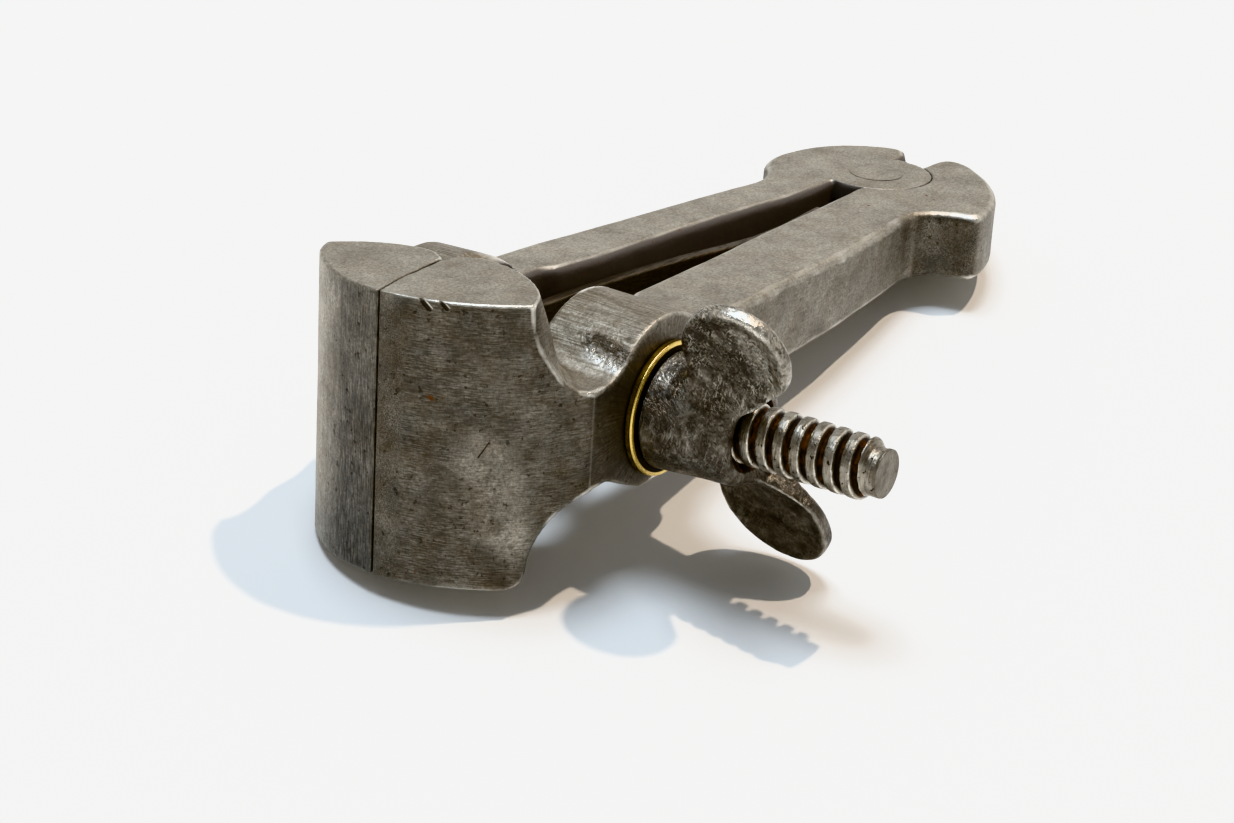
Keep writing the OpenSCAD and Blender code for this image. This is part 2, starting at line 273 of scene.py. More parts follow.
def quadEdges(quads):
    pairs = np.concatenate([quads[:, [0, 1]], quads[:, [1, 2]], quads[:, [2, 3]], quads[:, [3, 0]]])
    return np.unique(np.sort(pairs, 1), axis=0)


def pointNormals(places, quads):
    across = np.cross(places[quads[:, 2]] - places[quads[:, 0]], places[quads[:, 3]] - places[quads[:, 1]])
    normals = np.zeros_like(places)
    for n in range(3):
        for corner in range(4):
            normals[:, n] += np.bincount(quads[:, corner], across[:, n], len(places))
    return normals / np.maximum(np.linalg.norm(normals, axis=1), 1e-12)[:, None]


def smoothed(values, edges, steps):
    # each row of values goes half way to the mean of its neighbours, a number of times
    start, end = edges.T
    count = len(values)
    links = np.bincount(edges.ravel(), minlength=count)[:, None]
    for _ in range(steps):
        total = np.stack([np.bincount(start, column[end], count) + np.bincount(end, column[start], count)
                          for column in values.T], 1)
        values = 0.5 * values + 0.5 * (total / links)
    return values


def shapeWear(places, normals, edges, steps):
    # how far each point stands out of, or lies in, its surroundings, in mm
    return ((places - smoothed(places, edges, steps)) * normals).sum(1)


def valueNoise(points, size, seed):
    # smooth noise from -1 to 1, with lumps of the given size
    grid = points / size
    base = np.floor(grid).astype(np.int64)
    part = grid - base
    part = part * part * (3 - 2 * part)
    total = np.zeros(len(points))
    for step in np.ndindex(2, 2, 2):
        codes = (base + step) * (73856093, 19349663, 83492791)
        code = codes[:, 0] ^ codes[:, 1] ^ codes[:, 2] ^ (seed * 2654435)
        code = (code ^ (code >> 13)) * 1274126177 & 0x7FFFFFFF
        weight = np.where(step, part, 1 - part).prod(1)
        total += ((code % 65521) / 32760.0 - 1) * weight
    return total


def makeObject(name, places, faces, attributes=None):
    # a smooth mesh object from places in mm, in the frame of the vise
    mesh = bpy.data.meshes.new(name)
    mesh.from_pydata((np.asarray(places) * mm).tolist(), [], np.asarray(faces).tolist())
    mesh.update()
    mesh.polygons.foreach_set("use_smooth", [True] * len(mesh.polygons))
    for key, values in (attributes or {}).items():
        layer = mesh.attributes.new(key, "FLOAT", "POINT")
        layer.data.foreach_set("value", np.asarray(values, np.float32))
    print(name, len(mesh.polygons), "faces")
    return addObject(name, mesh)


# The two forged arms, each drawn with its outer side along plus Y
armShape = {
    "seam": 0.1, "half": 15.0, "waist": 5.3, "screwX": 25.3, "hingeX": 100.5,
    "backRadius": 12.25, "flare": 8.0, "power": 2.2,
    "lowBack": [(9.6, -15.0), (10.8, -14.9), (11.5, -14.65), (12.0, -14.25), (12.3, -13.6)],
    "fullBack": [(20.25, 5.3), (17.6, 5.35), (16.2, 5.6), (15.2, 6.3), (14.65, 7.6), (14.1, 9.6), (13.45, 12.0),
                 (12.45, 15.0)],
    "jawRound": 0.24, "seamRound": 0.05, "legRound": 1.1, "bossRound": 0.35, "fillet": 1.6,
    "bossRadius": 10.15, "bossTaper": 0.25, "bore": 4.14, "boreRound": 0.3,
    "underBoss": [(0, -5.3), (15.7, -5.3), (22, -7.9), (60, -7.9), (60, 30), (0, 30)], "underRound": 0.8,
    "hinge": 7.0, "hingeSeat": 7.01, "tongue": 1.5, "tongueSlot": 1.6, "cheekMiddle": 2.9, "cheekHalf": 1.3,
    "rivetBore": 2.45, "rivetHole": 2.37, "sinkFrom": 3.3,
    "pinY": 10.2, "pinHole": 1.52, "pinReach": 9.2, "eyeSlot": 2.3,
}
frontArm = {
    "name": "frontArmForging", "side": -1,
    "tip": [(0.2, 1.4), (1.1, 7.6), (5.6, 12.6)], "corner": [(5.6, 12.6), (6.9, 14.0), (9.0, 15.1)],
    "bossIn": 6.6, "bossOut": 16.95, "back": (1.9, 2.3), "legIn": (8.5, 4.95),
    "inside": [(14.15, 1.25), (13.65, 0.4), (12.7, -0.4), (10.9, -0.9), (4.2, -0.55)],
    "shoulder": (15.7, 8.7), "taper": [(0.275, 14.9), (0.421, 14.3), (0.568, 13.8), (0.714, 12.7)],
    "knuckle": (bend((-13.9, 11.8), (-9.1, 11.6), (-7.7, 17)) + bend((-7.6, 17.3), (-7.3, 18.4), (-5.5, 18.1), 3)
                + bend((-4.5, 18), (4.3, 16.4), (9.9, 9.7)) + bend((10.5, 8.9), (12.6, 6.9), (12.3, 4.9), 4)
                + bend((12.1, 4.1), (11.5, 3), (9.7, 2.9), 3) + [(0, 2.4), (-7.1, 1), (-14.5, 1.4), (-27.5, 2.1)]),
    "hollow": (0.374, 3.4), "foot": [(13.2, 4.1), (11.3, 4.7), (8.5, 6.6), (0, 6.6)],
}
rearArm = {
    "name": "rearArmForging", "side": 1,
    "tip": [(0.1, 1.4), (0.4, 6.8), (4.4, 10.8)], "corner": [(4.4, 10.8), (5.4, 12.0), (7.6, 12.7)],
    "bossIn": 7.0, "bossOut": 14.9, "back": (0.8, 2.7), "legIn": (12.1, 5.7),
    "inside": [(13.0, 3.5), (12.55, 2.5), (11.85, 1.35), (4.2, 0.75)],
    "shoulder": (13.9, 10.7), "taper": [(0.262, 13.5), (0.368, 12.7), (0.501, 11.7), (0.648, 10.8), (0.754, 10)],
    "knuckle": (bend((-14.1, 9.5), (-10.7, 9.4), (-8.2, 11.4), 5) + bend((-7.6, 11.9), (-5.1, 13.7), (-1, 13.5), 5)
                + bend((-0.2, 13.4), (6.5, 12.7), (10.4, 7.2)) + bend((10.7, 6.7), (12.1, 4.5), (12.2, 2.3), 4)
                + [(9.7, 0.8), (0, 0.8), (-7.1, 2.3), (-16.5, 2.5), (-23.5, 3.3)]),
    "hollow": (0.475, 4.4), "foot": [(20.4, 5), (14.1, 5.9), (12.1, 7.0), (0, 7.0)],
}
armSkin = {
    "grid": ([(-0.6, 2.0, 0.13), (2.0, 26, 0.26), (26, 88, 0.46), (88, 113.6, 0.34)],
             [(-7.8, -1.2, 0.26), (-1.2, 1.4, 0.13), (1.4, 18.8, 0.26)],
             [(-15.4, -9.4, 0.3), (-9.4, 9.4, 0.26), (9.4, 14.3, 0.3), (14.3, 15.4, 0.14)]),
    "wearSteps": 14, "rubSteps": 10, "markSteps": 3, "sunk": 0.03,
}


def legX(share):
    return armShape["screwX"] + share * (armShape["hingeX"] - armShape["screwX"])


def legOutline(arm):
    # out along the leg, round the knuckle, and back along the gap
    screwX, hingeX = armShape["screwX"], armShape["hingeX"]
    high, long = arm["shoulder"]
    return ([(screwX, high), (screwX + long, high)] + [(legX(share), y) for share, y in arm["taper"]]
            + [(hingeX + x, y) for x, y in arm["knuckle"]] + [(legX(arm["hollow"][0]), arm["hollow"][1])]
            + [(screwX + x, y) for x, y in arm["foot"]])


def armField(arm, xs, ys, zs):
    s = armShape
    front, bossIn, bossOut = arm is frontArm, arm["bossIn"], arm["bossOut"]
    flatX, flatY, flatZ = xs[:, None], ys[None, :], zs[None, :]
    x, y, z = xs[:, None, None], ys[None, :, None], zs[None, None, :]
    # jaw and neck: the plan, and the round back that flares into the waist
    (backX, backY), (throatX, throatY) = arm["back"], arm["inside"][0]
    plan = ([(0.15, s["seam"]), (0, s["seam"] + 0.15)] + bend(*arm["tip"]) + bend(*arm["corner"], 4)
            + [(12.5, bossOut), (20.4, bossOut + 4.2), (20.4, bossIn - 3), (throatX + 2, bossIn - 3)]
            + arm["inside"])
    planField = polygonDistance(plan, flatX, flatY)[:, :, None]
    turn = np.radians(np.arange(0, 91, 5))
    backR = s["backRadius"] + s["flare"] - s["flare"] * np.cos(turn) ** (2 / s["power"])
    backZ = s["half"] - (s["half"] - s["waist"]) * np.sin(turn) ** (2 / s["power"])
    low, high = s["lowBack"] + list(zip(backR, -backZ))[3:], list(zip(backR, backZ))[::-1]
    radius = np.hypot(flatX - backX, flatY - backY)
    table = np.linspace(0, radius.max() + 0.5, 420)
    backField = []
    for top in (high, s["fullBack"]):
        profile = [(-60, -s["half"])] + low + [(60, -s["waist"]), (60, s["waist"])] + top + [(-60, s["half"])]
        levels = polygonDistance(profile, table[:, None], flatZ)
        backField.append(np.stack([np.interp(radius, table, level) for level in levels.T], 2))
    # the scoop's wall is fuller away from the front jaw's outer face
    around = np.degrees(np.arctan2(flatX - backX, flatY - backY))
    share = np.clip((around - 24) / 14, 0, 1)[:, :, None] * front
    backField = backField[0] + (backField[1] - backField[0]) * share
    edgeRound = s["seamRound"] + (s["jawRound"] - s["seamRound"]) * np.clip(np.abs(y) / 2.5, 0, 1)
    jaw = roundCut(planField, backField, edgeRound)
    # boss
    bossR = np.hypot(x - s["screwX"], z)
    share = np.clip((y - bossIn) / (bossOut - bossIn), 0, 1)
    boss = np.maximum(bossR - (s["bossRadius"] - s["bossTaper"] * share), np.abs(y - (bossIn + bossOut) / 2) - 8)
    if front:
        slope = polygonDistance(s["underBoss"], flatX, flatZ)[:, None, :]
        boss = roundCut(boss, slope, s["underRound"])
    # leg
    legPlan = polygonDistance(legOutline(arm), flatX, flatY)[:, :, None]
    legSide = polygonDistance([(s["screwX"] - 3, -6.15), (legX(0.355), -4.4), (90.5, -4.2), (130, -4.2),
                               (130, 4.2), (90.5, 4.2), (s["screwX"] - 3, 6.33)], flatX, flatZ)[:, None, :]
    leg = roundCut(legPlan, legSide, s["legRound"])
    body = roundJoin(roundJoin(jaw, boss, s["fillet"]), leg, s["fillet"])
    # flat end face of the boss, and the plane of its inner face, with the slope up to it from the jaw
    near = xs < 60
    body[near] = roundCut(body[near], y - bossOut, s["bossRound"])
    legInX, legInY = s["screwX"] + arm["legIn"][0], arm["legIn"][1]
    throat = polygonDistance([(throatX, throatY), (throatX + 4.6, bossIn), (legInX, bossIn),
                              (legInX + 2.4, legInY), (legInX + 2.4, -30), (throatX, -30)],
                             flatX, flatY)[:, :, None]
    # the rear boss is dressed round at the top of its inner face
    dressed = (np.clip((z - 3.5) / 3, 0, 1) * np.clip((x - 14.5) / 2, 0, 1) * np.clip((32 - x) / 5, 0, 1)
               * (not front))
    body = roundCut(body, -throat, 0.15 + 2.4 * dressed)
    # the hinge, and the holes for the rivet and the screw
    hingeR = np.hypot(x - s["hingeX"], y)
    flat = np.abs(z)
    if front:
        body = np.maximum(body, -roundCut(hingeR - s["hingeSeat"], s["tongue"] - flat, 0.02))
        body = np.minimum(body, roundCut(hingeR - s["hinge"], flat - s["tongue"], 0.1))
        body = np.maximum(body, s["rivetBore"] - hingeR)
        return roundCut(body, s["bore"] - bossR, s["boreRound"])
    body = np.maximum(body, -np.maximum(hingeR - s["hingeSeat"], flat - s["tongueSlot"]))
    cheeks = np.abs(flat - s["cheekMiddle"]) - s["cheekHalf"]
    body = np.minimum(body, roundCut(hingeR - s["hinge"], cheeks, 0.03))
    sink = np.maximum(flat - s["sinkFrom"], 0)
    body = np.maximum(body, -(hingeR - s["rivetHole"] - sink))
    # the slot for the screw's eye; the swing pin's ends are dressed flush, so its hole stops short of the skin
    pinR = np.hypot(x - s["screwX"], y - s["pinY"])
    slot = np.minimum(np.maximum(np.abs(x - s["screwX"]) - s["bore"], y - s["pinY"]), pinR - s["bore"])
    body = np.maximum(body, -np.maximum(slot, flat - s["eyeSlot"]))
    return np.maximum(body, -np.maximum(pinR - s["pinHole"], flat - s["pinReach"]))


def makeArm(arm):
    s, skin = armShape, armSkin
    lines = [graded(stops) for stops in skin["grid"]]
    places, quads = skinField(armField(arm, *lines), *lines)
    edges, normals = quadEdges(quads), pointNormals(places, quads)
    outX, outY, outZ = normals.T
    x, y, z = places.T
    hingeR, bossR = np.hypot(x - s["hingeX"], y), np.hypot(x - s["screwX"], z)
    # how much of their brightness the edges get: less at the seam, low down, and in the places listed here
    rim = (bossR > 8.4) & (bossR < 10.4) & (y > arm["bossOut"] - 1.2)
    scoop = (x > 9.5) & (x < 24) & (np.abs(z) < 14) & ~rim
    corner = (x < 14.5) & (y > arm["bossOut"] - 0.8) & (np.abs(z) < 7)
    rubbed = np.clip((np.abs(y) - 0.4) / 1.2, 0.15, 1) * np.where(z < -8, 0.45, 1)
    for spot, share in (((x < 9) & (arm is rearArm), 0.6), (hingeR < 8, 0.4),
                        ((x > 86) & (np.abs(outZ) < 0.4), 0.3), (rim, 0.4), (scoop & ~corner, 0.32)):
        rubbed[spot] *= share
    rubbed = smoothed(rubbed[:, None], edges, skin["rubSteps"])[:, 0]
    wear = shapeWear(places, normals, edges, skin["wearSteps"])
    wear = np.where(wear > 0, wear * rubbed, wear)
    # the forging isn't quite even, but the hinge's seats are true, so that they turn in each other
    facing = np.clip(-2 * outY - 1, 0, 1) * (x < 14)
    places = places - np.outer(facing * (0.075 + 0.03 * valueNoise(places, 1.3, 9)), (0, 1, 0))
    uneven = (0.035 * valueNoise(places, 6.0, 3) + 0.02 * valueNoise(places, 2.2, 5)) * np.clip(x / 6, 0.2, 1)
    uneven = uneven * np.clip(np.abs(hingeR - s["hinge"]) - 0.2, 0, 1)
    places = places + normals * (uneven - skin["sunk"])[:, None]
    x, y, z = places.T
    bossR = np.hypot(x - s["screwX"], z)
    inner = np.clip(-outY * 1.6 - 0.4, 0, 1) * np.clip((x - 14) / 6, 0, 1) * np.clip((9.4 - z) / 2, 0, 1)
    # the end of the gap between the legs, at the hinge
    inner[(np.abs(hingeR - 7.05) < 0.3) & (x < 98) & (np.abs(outZ) < 0.6)] = 1.0
    # which way the file or the wheel went: level on the jaw's face, upright on its nose, along the boss
    boss = (bossR > 8.6) & (bossR < 10.5) & (np.abs(outY) < 0.6) & (y > arm["bossIn"])
    bossEnd = (bossR < 10.5) & (outY > 0.75) & (y > arm["bossOut"] - 0.5)
    nose = (x < 9) & (outX < -0.3) & (arm is rearArm)
    cheek = (x < 30) & (np.abs(outZ) < 0.75) & (outY > 0.2) & ~boss & ~bossEnd & ~nose
    # hands and oil have darkened the upright faces near the jaws
    patina = np.clip(1.15 - np.abs(outZ) * 1.5, 0, 1) * np.clip((44 - x) / 26, 0.6, 1)
    patina = np.where(boss, np.clip(patina + 0.45, 0.52, 0.85), patina)
    # painted light: on the rear jaw's nose the patina thins towards its outer side and its upper half, so that the
    # nose is lighter there
    paintedLight = 0.85 * np.clip(2.8 * outY - 0.75, 0, 1) + 0.12 * np.clip(z / 6, 0, 1)
    patina = np.where(nose, patina * (1 - paintedLight), patina)
    # painted shade: the hinge lobes' upright faces that look back towards the jaws get the full patina, which
    # stands in for the dark, shadowed floor that they reflect
    patina[(x > 86) & (outX < -0.3) & (np.abs(outZ) < 0.7)] = 1.0
    marks = smoothed(np.stack([cheek, nose, boss, bossEnd, patina], 1), edges, skin["markSteps"])
    points = dict(zip(("levelMarks", "uprightMarks", "bossMarks", "endMarks", "patina"), marks.T))
    places = places * (1, arm["side"], 1) + (0, 0, s["half"])
    return makeObject(arm["name"], places, quads[:, ::arm["side"]], {"wear": wear, "inner": inner, **points})


frontForging = makeArm(frontArm)
rearForging = makeArm(rearArm)


# Wing nut: a cone hub with two dished ears, drawn with its screw along Y and its ears along Z
nutShape = {
    "foot": 18.0, "hubFoot": 6.25, "hubEnd": 5.6, "hubLong": 9.8, "hubRound": 1.1, "bore": 3.3, "mouth": 0.9,
    "upper": {"reach": 11.2, "forward": 10.2, "long": 6.85, "wide": 5.85, "lean": 25, "turn": 28.7},
    "lower": {"reach": 11.0, "forward": 10.35, "long": 6.75, "wide": 5.55, "lean": 38, "turn": 27},
    "neck": [(2.5, 2.2), (6.2, 3.4), (9.5, 5.5), (9.5, 10.3), (6.8, 8.8), (4.5, 7.8), (2.5, 7.8)],
    "rim": 0.88, "dish": 0.42, "web": 2.0, "fillet": 1.3, "spacing": 0.22, "wearSteps": 10,
}


def earField(ear, x, y, z):
    # an oval plate with a raised rim, and a neck that thickens towards the hub
    lean = math.radians(ear["lean"])
    along = (z - ear["reach"]) * math.cos(lean) + (y - ear["forward"]) * math.sin(lean)
    across = -(z - ear["reach"]) * math.sin(lean) + (y - ear["forward"]) * math.cos(lean)
    size = np.sqrt((along / ear["long"]) ** 2 + (across / ear["wide"]) ** 2)
    slope = np.sqrt((along / ear["long"] ** 2) ** 2 + (across / ear["wide"] ** 2) ** 2) / np.maximum(size, 1e-3)
    oval = (size - 1) / np.maximum(slope, 0.12)
    plate = roundJoin(oval, polygonDistance(nutShape["neck"], z, y), 1.4)
    inward = np.clip((-oval - 0.35) / 1.9, 0, 1)
    thick = nutShape["rim"] - nutShape["dish"] * inward * inward * (3 - 2 * inward)
    thick = thick + (nutShape["web"] - thick) * np.clip((8.6 - z) / 4.2, 0, 1) ** 1.6
    return roundCut(plate, np.abs(x) - thick, 0.5)


def makeNut():
    n = nutShape
    xs, ys, zs = (np.arange(start, end, n["spacing"]) for start, end in ((-7, 7.01), (-0.6, 19.2), (-19.4, 19.41)))
    x, y, z = xs[:, None, None], ys[None, :, None], zs[None, None, :]
    hubR = np.hypot(x, z)
    cone = hubR - (n["hubFoot"] + (n["hubEnd"] - n["hubFoot"]) * np.clip(y / n["hubLong"], 0, 1))
    hub = roundCut(roundCut(cone, -y + 0.02, 0.25), y - n["hubLong"], n["hubRound"])
    # each ear is drawn upright and turned by its own angle
    ears = []
    for ear, sign in (("upper", 1), ("lower", -1)):
        turn = math.radians(n[ear]["turn"] - n["upper"]["turn"])
        ears.append(earField(n[ear], x * math.cos(turn) - z * sign * math.sin(turn), y,
                             x * math.sin(turn) + z * sign * math.cos(turn)))
    body = np.maximum(roundJoin(hub, np.minimum(*ears), n["fillet"]), -y + 0.02)
    mouth = np.maximum(y - n["hubLong"] + n["mouth"], 0)
    body = roundCut(body, -(hubR - n["bore"] - mouth * 0.8), 0.25)
    places, quads = skinField(body, xs, ys, zs)
    normals = pointNormals(places, quads)
    wear = shapeWear(places, normals, quadEdges(quads), n["wearSteps"])
    uneven = 0.05 * valueNoise(places, 2.6, 21) + 0.03 * valueNoise(places, 1.1, 22)
    bore = np.hypot(places[:, 0], places[:, 2]) < n["bore"] + 0.8
    x, y, z = (places + normals * np.where(bore, 0, uneven - 0.06)[:, None]).T
    turn = math.radians(n["upper"]["turn"])
    turned = np.stack([armShape["screwX"] + x * math.cos(turn) - z * math.sin(turn), -(n["foot"] + y),
                       armShape["half"] + x * math.sin(turn) + z * math.cos(turn)], 1)
    return makeObject("wingNutForging", turned, quads[:, ::-1], {"wear": wear, "inner": bore.astype(float)})


nutForging = makeNut()


# Clamp screw: a grid rolled into a coarse rounded thread by Geometry Nodes
screwShape = {
    "start": -2.0, "long": 44.8, "pitch": 1.9, "crest": 3.24, "root": 2.48, "point": 2.5, "pointLong": 1.4,
    "steps": 72, "perPitch": 16, "crown": 0.08, "merge": 0.01,
}
threadSizes = ("long", "pitch", "crest", "root", "point", "pointLong", "crown")


def threadTree(material):
    tree = bpy.data.node_groups.new("rolledThread", "GeometryNodeTree")
    tree.interface.new_socket("Geometry", in_out="OUTPUT", socket_type="NodeSocketGeometry")
    for label in threadSizes:
        tree.interface.new_socket(label, in_out="INPUT", socket_type="NodeSocketFloat")
    for label in ("rings", "columns"):
        tree.interface.new_socket(label, in_out="INPUT", socket_type="NodeSocketInt")
    entry = addNode(tree, "NodeGroupInput").outputs
    grid = addNode(tree, "GeometryNodeMeshGrid", {
        "Size X": 1.0, "Size Y": 1.0, "Vertices X": entry["rings"], "Vertices Y": entry["columns"]})
    spot = addNode(tree, "ShaderNodeSeparateXYZ", {0: addNode(tree, "GeometryNodeInputPosition").outputs[0]})
    value = {"x": spot.outputs["X"], "y": spot.outputs["Y"], "circle": 2 * math.pi}
    value.update({name: entry[name] for name in threadSizes})
    addSheet(tree, value,
        # the surface runs from the axis out over the start, along the thread, and back in over the point
        "along = x + 0.5, around = y + 0.5, ends = crest + point, reach = long + ends,"
        "travelled = along * reach, travel = travelled - crest, positive = MAXIMUM travel 0,"
        "height = MINIMUM positive long,"
        # where each place lies between two crests
        "turns = height / pitch, unwound = turns - around, phase = FRACT unwound, off = phase - 0.5,"
        "half = ABSOLUTE off, away = half * 2, square = away * away, crowned = square * crown,"
        "flank = SMOOTHERSTEP away 0.46 0.78,"
        # the thread fades into the chamfer of the point
        "depth = crest - root, chamfer = pointLong * 1.5, chamferFrom = long - chamfer,"
        "flat = pointLong * 0.8, chamferTo = long - flat, nearEnd = SMOOTHSTEP height chamferFrom chamferTo,"
        "left = 1 - nearEnd, hollow = flank * left, cut = flank * depth, top = crest - crowned,"
        "ridge = top - cut, shoulder = left * depth, cone = point + shoulder, pointed = MINIMUM ridge cone,"
        "rise = travel + crest, body = MINIMUM rise pointed,"
        # the sawn end
        "past = travel - long, over = MAXIMUM past 0, face = point - over, closing = MINIMUM body face,"
        "end = MAXIMUM closing 0, isEnd = GREATER_THAN over 0, change = end - body, step = change * isEnd,"
        "radius = body + step, angle = around * circle, cosine = COSINE angle, sine = SINE angle,"
        "placeX = radius * cosine, placeY = height * -1, placeZ = radius * sine")
    place = addNode(tree, "ShaderNodeCombineXYZ", {i: value["place" + axis] for i, axis in enumerate("XYZ")})
    made = addNode(tree, "GeometryNodeStoreNamedAttribute", {
        "Geometry": grid.outputs["Mesh"], "Name": "valley", "Value": value["hollow"]},
        data_type="FLOAT", domain="POINT").outputs[0]
    for kind, links in (("GeometryNodeSetPosition", {"Position": place.outputs[0]}),
                        ("GeometryNodeMergeByDistance", {"Distance": screwShape["merge"] * mm}),
                        ("GeometryNodeSetShadeSmooth", {}), ("GeometryNodeRealizeInstances", {}),
                        ("GeometryNodeSetMaterial", {"Material": material})):
        made = addNode(tree, kind, {"Geometry": made, **links}).outputs[0]
    addNode(tree, "NodeGroupOutput", {0: made})
    return tree


def makeThread(material):
    s = screwShape
    holder = addObject("threadHolder", bpy.data.meshes.new("threadHolder"))
    tree = threadTree(material)
    modifier = holder.modifiers.new("thread", "NODES")
    modifier.node_group = tree
    rings = round((s["long"] + s["crest"] + s["point"]) / s["pitch"] * s["perPitch"])
    values = {"rings": rings, "columns": s["steps"] + 1, **{name: s[name] * mm for name in threadSizes}}
    for item in tree.interface.items_tree:
        if item.in_out == "INPUT":
            modifier[item.identifier] = values[item.name]
    bpy.context.view_layer.update()
    found = holder.evaluated_get(bpy.context.evaluated_depsgraph_get())
    mesh = bpy.data.meshes.new_from_object(found)
    holder.modifiers.clear()
    bpy.data.objects.remove(holder)
    mesh.transform(Matrix.Translation(Vector((armShape["screwX"], -s["start"], armShape["half"])) * mm))
    print("threadedScrew", len(mesh.polygons), "faces")
    return addObject("threadedScrew", mesh)


# The flat eye on the swing pin, and the plain shank up to the thread
eyeShape = {
    "radius": 3.24, "half": 2.2, "hole": 1.55, "round": 0.3, "spacing": 0.26,
    "flatMiddle": 8.2, "flatHalf": 2.0, "shank": 3.2, "shankMiddle": 3.0, "shankHalf": 3.4,
}


def makeEye():
    s = eyeShape
    xs, ys, zs = (np.arange(start, end, s["spacing"]) for start, end in ((21, 29.7), (-1.2, 14.2), (-3.8, 3.81)))
    x, y, z = xs[:, None, None] - armShape["screwX"], ys[None, :, None], zs[None, None, :]
    pinR = np.hypot(x, y - armShape["pinY"])
    flat = np.minimum(np.maximum(np.abs(x) - s["radius"], np.abs(y - s["flatMiddle"]) - s["flatHalf"]),
                      pinR - s["radius"])
    eye = roundCut(flat, np.abs(z) - s["half"], s["round"])
    shank = roundCut(np.hypot(x, z) - s["shank"], np.abs(y - s["shankMiddle"]) - s["shankHalf"],
                     s["round"])
    body = np.maximum(np.minimum(eye, shank), s["hole"] - pinR)
    places, quads = skinField(body, xs, ys, zs)
    places[:, 2] += armShape["half"]
    return makeObject("screwEye", places, quads, {"valley": np.zeros(len(places))})


# Turned and bent pieces
def roundedRing(low, high, radius, turns):
    # the outline of a rectangle with rounded corners
    ring = []
    for (x, y), start in zip(((high[0], high[1]), (low[0], high[1]), (low[0], low[1]), (high[0], low[1])),
                             (0, 90, 180, 270)):
        x += radius if x == low[0] else -radius
        y += radius if y == low[1] else -radius
        ring += [(x + radius * math.cos(math.radians(start + a)), y + radius * math.sin(math.radians(start + a)))
                 for a in turns]
    return ring


def ringFaces(rings, count, closed):
    # quads between rings of count points each
    return [(a + j, a + (j + 1) % count, b + (j + 1) % count, b + j)
            for a, b in ((i * count, (i + 1) % rings * count) for i in range(rings if closed else rings - 1))
            for j in range(count)]


washerShape = {"outer": 7.1, "inner": 3.5, "near": -17.07, "far": -17.88, "round": 0.2, "steps": 96}


def makeWasher():
    w = washerShape
    ring = roundedRing((w["inner"], w["far"]), (w["outer"], w["near"]), w["round"], (0, 22, 45, 68, 90))
    places = []
    for i in range(w["steps"]):
        a = 2 * math.pi * i / w["steps"]
        places += [(armShape["screwX"] + r * math.cos(a), y, armShape["half"] + r * math.sin(a)) for r, y in ring]
    return makeObject("brassWasher", places, ringFaces(w["steps"], len(ring), True))


springShape = {
    "thick": 1.46, "wide": 6.5, "round": 0.3,
    "bends": [((0.072, 5.1), (0.27, 4.35), (0.461, 1.4), 28), ((0.481, 1.05), (0.541, -0.1), (0.594, -0.8), 12)],
    "foot": (76, 78, 80, 82, 84, 85.5), "armY": 0.77, "footFrom": 73, "footLong": 13, "under": 2.1, "rise": 0.7,
}


def makeSpring():
    s = springShape
    # its middle line bends twice and then lies along the front leg
    line = [(legX(share), y) for curve in s["bends"] for share, y in bend(*curve)]
    line = np.array(line + [(x, s["armY"] - (s["under"] - s["rise"] * (x - s["footFrom"]) / s["footLong"]))
                            for x in s["foot"]])
    ahead = np.gradient(line, axis=0)
    ahead /= np.linalg.norm(ahead, axis=1)[:, None]
    half = (s["thick"] / 2, s["wide"] / 2)
    ring = roundedRing((-half[0], -half[1]), half, s["round"], (0, 30, 60, 90))
    places = [(x - aheadY * d, y + aheadX * d, armShape["half"] + h)
              for (x, y), (aheadX, aheadY) in zip(line, ahead) for d, h in ring]
    made = makeObject("leafSpringStrip", places, ringFaces(len(line), len(ring), False))
    work = bmesh.new()
    work.from_mesh(made.data)
    bmesh.ops.holes_fill(work, edges=work.edges[:], sides=0)
    bmesh.ops.recalc_face_normals(work, faces=work.faces[:])
    work.to_mesh(made.data)
    work.free()
    return made


# Materials: every pattern is set by its size in mm
def newMaterial(name, attributes=""):
    # a material, its tree, the place in mm, and the values that its patterns start from
    material = bpy.data.materials.new(name)
    material.use_nodes = True
    tree = material.node_tree
    place = addNode(tree, "ShaderNodeTexCoord").outputs["Object"]
    place = addNode(tree, "ShaderNodeVectorMath", {0: place, 1: [1 / mm] * 3}, operation="MULTIPLY").outputs[0]
    value = {"place": place, "screwX": armShape["screwX"], "screwZ": armShape["half"],
             "screwAxis": (armShape["screwX"], 0, armShape["half"]),
             **dict(zip("xyz", addNode(tree, "ShaderNodeSeparateXYZ", {0: place}).outputs))}
    for key in attributes.split():
        value[key] = addNode(tree, "ShaderNodeAttribute", attribute_name=key).outputs["Fac"]
    return material, tree, place, value


def lumps(tree, place, size, low, high, detail=4.0, rough=0.6):
    # clouds of a given size, from 0 to 1 between two levels of the noise
    noise = addNode(tree, "ShaderNodeTexNoise", {"Vector": place, "Scale": 1 / size, "Detail": detail,
                                                 "Roughness": rough}).outputs[0]
    return addNode(tree, "ShaderNodeMapRange", {"Value": noise, "From Min": low, "From Max": high}).outputs[0]


def strokes(tree, place, size, low=0.38, high=0.66, detail=4.0):
    # lines left by a file or a wheel: noise drawn out to a length in mm along each axis
    drawn = addNode(tree, "ShaderNodeVectorMath", {0: place, 1: size}, operation="DIVIDE").outputs[0]
    return lumps(tree, drawn, 1.0, low, high, detail)


def scar(tree, place, start, end, width):
    # 1 on a short cut from start to end, in mm, and 0 away from it
    way = Vector(end) - Vector(start)
    value = {"place": place, "start": start, "way": way, "share": way / way.length_squared, "width": width,
             "core": width * 0.4}
    addSheet(tree, value,
        "out = subtract place start, reach = dot_product out share, along = LINEAR reach 0 1,"
        "foot = multiply way along, gap = distance out foot, mark = LINEAR gap width core")
    return value["mark"]


